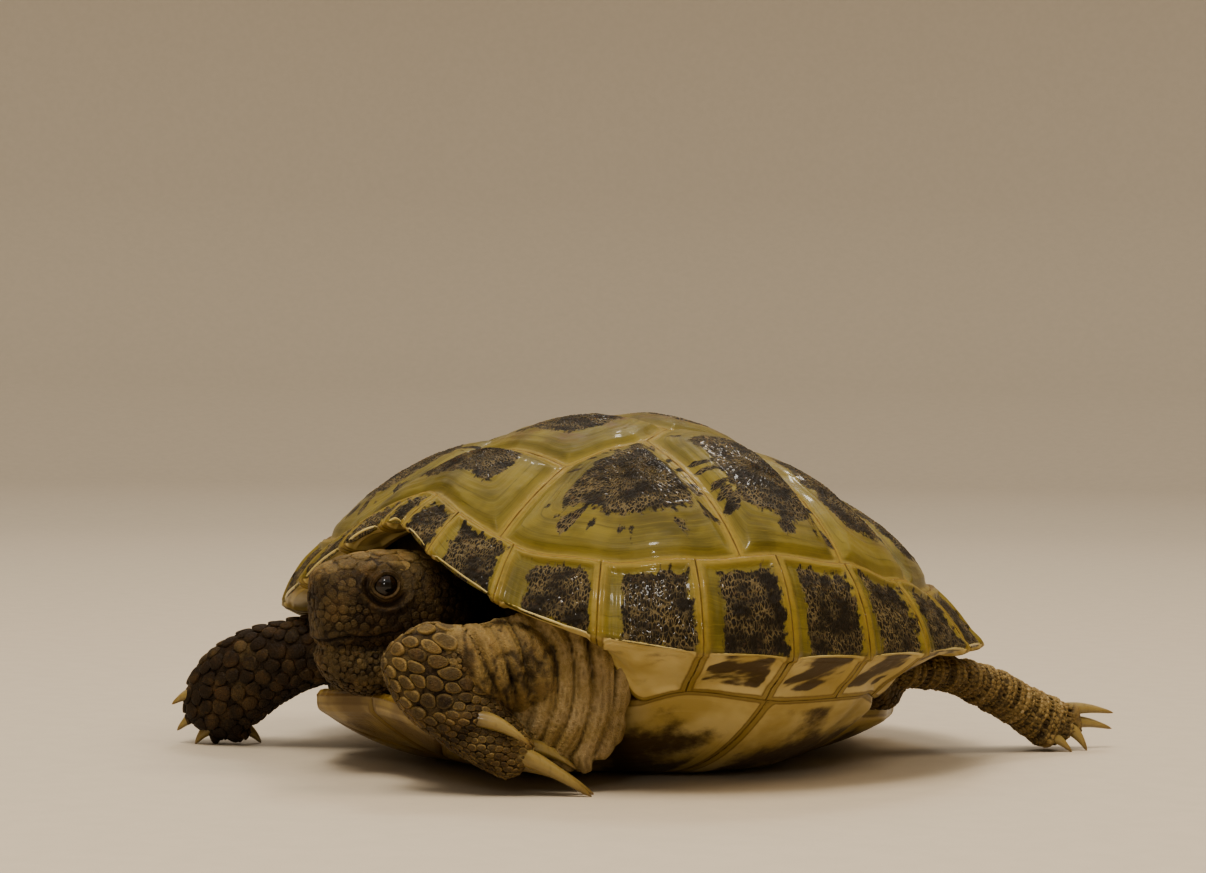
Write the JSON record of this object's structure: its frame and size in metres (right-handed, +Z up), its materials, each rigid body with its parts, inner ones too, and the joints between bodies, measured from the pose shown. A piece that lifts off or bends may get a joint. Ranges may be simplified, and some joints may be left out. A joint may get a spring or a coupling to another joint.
{
  "type": "juvenile steppe tortoise model",
  "caption": "Life-size still model of a young steppe tortoise at rest on its plastron, head turned, front legs bent beside it and hind legs stretched behind",
  "frame": {"origin": "centre of the bounding box's bottom face, on the floor the model rests on", "axes": "+Z up, -Y to the front (the way the shell faces), +X to the animal's left"},
  "size_m": [0.083, 0.0974, 0.0408],
  "materials": {
    "plate": "glossy translucent horn, olive yellow with dark brown centres",
    "rim": "satin horn, dark brown blocks between yellow seams",
    "belly": "smooth ivory-yellow horn with brown blotches",
    "skin": "brown-olive folded skin with horny scales",
    "head": "olive-grey mottled fine scales and a smooth beak",
    "eye": "wet, near-black gloss"
  },
  "bodies": {
    "root": {"abdominal_left": "belly", "abdominal_right": "belly", "anal_left": "belly", "anal_right": "belly", "costal_left_1": "plate", "costal_left_2": "plate", "costal_left_3": "plate", "costal_left_4": "plate", "costal_right_1": "plate", "costal_right_2": "plate", "costal_right_3": "plate", "costal_right_4": "plate", "eye_left": "eye", "eye_right": "eye", "femoral_left": "belly", "femoral_right": "belly", "foreleg_left": "skin", "foreleg_right": "skin", "gular_left": "belly", "gular_right": "belly", "head": "head", "hindleg_left": "skin", "hindleg_right": "skin", "humeral_left": "belly", "humeral_right": "belly", "marginal_left_1": "rim", "marginal_left_10": "rim", "marginal_left_11": "rim", "marginal_left_2": "rim", "marginal_left_3": "rim", "marginal_left_4": "rim", "marginal_left_5": "rim", "marginal_left_6": "rim", "marginal_left_7": "rim", "marginal_left_8": "rim", "marginal_left_9": "rim", "marginal_right_1": "rim", "marginal_right_10": "rim", "marginal_right_11": "rim", "marginal_right_2": "rim", "marginal_right_3": "rim", "marginal_right_4": "rim", "marginal_right_5": "rim", "marginal_right_6": "rim", "marginal_right_7": "rim", "marginal_right_8": "rim", "marginal_right_9": "rim", "neck": "skin", "nuchal": "rim", "pectoral_left": "belly", "pectoral_right": "belly", "supracaudal": "rim", "tail": "skin", "trunk": "skin", "vertebral_1": "plate", "vertebral_2": "plate", "vertebral_3": "plate", "vertebral_4": "plate", "vertebral_5": "plate"}
  },
  "joints": []
}
